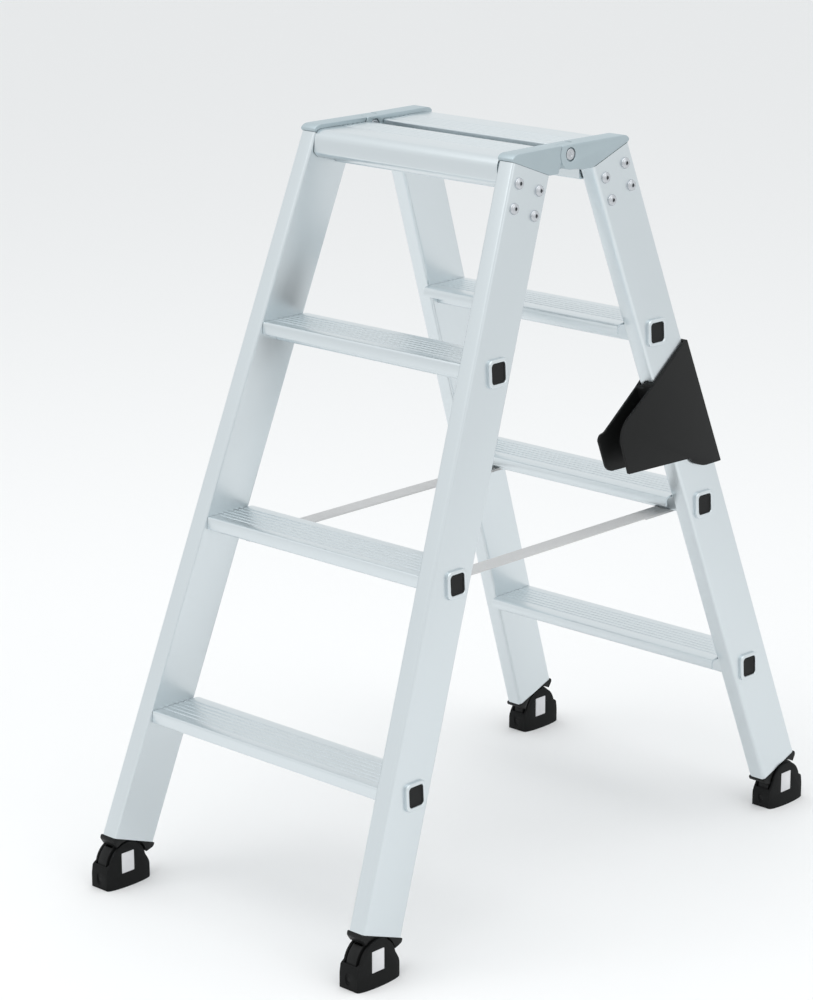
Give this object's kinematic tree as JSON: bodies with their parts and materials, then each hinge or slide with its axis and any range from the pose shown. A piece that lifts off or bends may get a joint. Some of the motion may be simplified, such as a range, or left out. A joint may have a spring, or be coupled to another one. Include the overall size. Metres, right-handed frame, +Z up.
{
  "type": "platform step ladder",
  "caption": "Double-sided folding aluminium step ladder with grooved treads, a split platform, tilting feet and a transport clamp.",
  "frame": {"origin": "on the floor, midway between the four feet", "axes": "+Z up, +Y from the front section to the rear section, +X to the right for a person facing the front treads"},
  "size_m": [0.4726, 0.8594, 0.927],
  "materials": {
    "extruded_aluminium": "bright mill-finish extrusion",
    "cast_aluminium": "blasted die casting",
    "zinc_plated_steel": "bright zinc plate",
    "black_plastic": "fine moulded texture",
    "black_rubber": "matt moulded rubber",
    "grey_plastic": "satin moulded",
    "webbing": "flat woven polyester webbing"
  },
  "bodies": {
    "front_section": {"stile_front_right": "extruded_aluminium", "stile_front_left": "extruded_aluminium", "step_front_1": "extruded_aluminium", "step_front_2": "extruded_aluminium", "step_front_3": "extruded_aluminium", "step_plug_front_right_1": "black_plastic", "step_plug_front_left_1": "black_plastic", "step_plug_front_right_2": "black_plastic", "step_plug_front_left_2": "black_plastic", "step_plug_front_right_3": "black_plastic", "step_plug_front_left_3": "black_plastic", "platform_front": "extruded_aluminium", "hinge_casting_front_right": "cast_aluminium", "hinge_casting_front_left": "cast_aluminium", "foot_collar_front_right": "black_plastic", "foot_collar_front_left": "black_plastic", "strap_rivet_front_right": "zinc_plated_steel", "strap_rivet_front_left": "zinc_plated_steel", "hinge_pin_right": "zinc_plated_steel", "hinge_pin_left": "zinc_plated_steel", "strap_right": "webbing", "strap_left": "webbing"},
    "rear_section": {"stile_rear_right": "extruded_aluminium", "stile_rear_left": "extruded_aluminium", "step_rear_1": "extruded_aluminium", "step_rear_2": "extruded_aluminium", "step_rear_3": "extruded_aluminium", "step_plug_rear_right_1": "black_plastic", "step_plug_rear_left_1": "black_plastic", "step_plug_rear_right_2": "black_plastic", "step_plug_rear_left_2": "black_plastic", "step_plug_rear_right_3": "black_plastic", "step_plug_rear_left_3": "black_plastic", "platform_rear": "extruded_aluminium", "hinge_casting_rear_right": "cast_aluminium", "hinge_casting_rear_left": "cast_aluminium", "foot_collar_rear_right": "black_plastic", "foot_collar_rear_left": "black_plastic", "strap_rivet_rear_right": "zinc_plated_steel", "strap_rivet_rear_left": "zinc_plated_steel", "transport_clamp": "black_plastic"},
    "foot_swivel_front_right": {"foot_swivel_front_right": "black_plastic"},
    "foot_shoe_front_right": {"foot_shoe_front_right": "black_rubber", "foot_insert_outer_front_right": "grey_plastic", "foot_insert_inner_front_right": "grey_plastic"},
    "foot_swivel_front_left": {"foot_swivel_front_left": "black_plastic"},
    "foot_shoe_front_left": {"foot_shoe_front_left": "black_rubber", "foot_insert_outer_front_left": "grey_plastic", "foot_insert_inner_front_left": "grey_plastic"},
    "foot_swivel_rear_right": {"foot_swivel_rear_right": "black_plastic"},
    "foot_shoe_rear_right": {"foot_shoe_rear_right": "black_rubber", "foot_insert_outer_rear_right": "grey_plastic", "foot_insert_inner_rear_right": "grey_plastic"},
    "foot_swivel_rear_left": {"foot_swivel_rear_left": "black_plastic"},
    "foot_shoe_rear_left": {"foot_shoe_rear_left": "black_rubber", "foot_insert_outer_rear_left": "grey_plastic", "foot_insert_inner_rear_left": "grey_plastic"}
  },
  "joints": [
    {"name": "fold", "type": "hinge", "parent": "front_section", "child": "rear_section", "pos_m": [0, 0, 0.915], "axis": [-1, 0, 0], "range_deg": [0, 40], "deforming": ["strap_right", "strap_left"]},
    {"name": "foot_tilt_front_right", "type": "hinge", "parent": "front_section", "child": "foot_swivel_front_right", "pos_m": [0.2163, -0.3937, 0.026], "axis": [-1, 0, 0], "range_deg": [-10, 20]},
    {"name": "foot_roll_front_right", "type": "hinge", "parent": "foot_swivel_front_right", "child": "foot_shoe_front_right", "pos_m": [0.2163, -0.3937, 0.0125], "axis": [0, 1, 0], "range_deg": [-3, 3]},
    {"name": "foot_tilt_front_left", "type": "hinge", "parent": "front_section", "child": "foot_swivel_front_left", "pos_m": [-0.2163, -0.3937, 0.026], "axis": [-1, 0, 0], "range_deg": [-10, 20]},
    {"name": "foot_roll_front_left", "type": "hinge", "parent": "foot_swivel_front_left", "child": "foot_shoe_front_left", "pos_m": [-0.2163, -0.3937, 0.0125], "axis": [0, 1, 0], "range_deg": [-3, 3]},
    {"name": "foot_tilt_rear_right", "type": "hinge", "parent": "rear_section", "child": "foot_swivel_rear_right", "pos_m": [0.2163, 0.3937, 0.026], "axis": [1, 0, 0], "range_deg": [-10, 20]},
    {"name": "foot_roll_rear_right", "type": "hinge", "parent": "foot_swivel_rear_right", "child": "foot_shoe_rear_right", "pos_m": [0.2163, 0.3937, 0.0125], "axis": [0, 1, 0], "range_deg": [-3, 3]},
    {"name": "foot_tilt_rear_left", "type": "hinge", "parent": "rear_section", "child": "foot_swivel_rear_left", "pos_m": [-0.2163, 0.3937, 0.026], "axis": [1, 0, 0], "range_deg": [-10, 20]},
    {"name": "foot_roll_rear_left", "type": "hinge", "parent": "foot_swivel_rear_left", "child": "foot_shoe_rear_left", "pos_m": [-0.2163, 0.3937, 0.0125], "axis": [0, 1, 0], "range_deg": [-3, 3]}
  ]
}
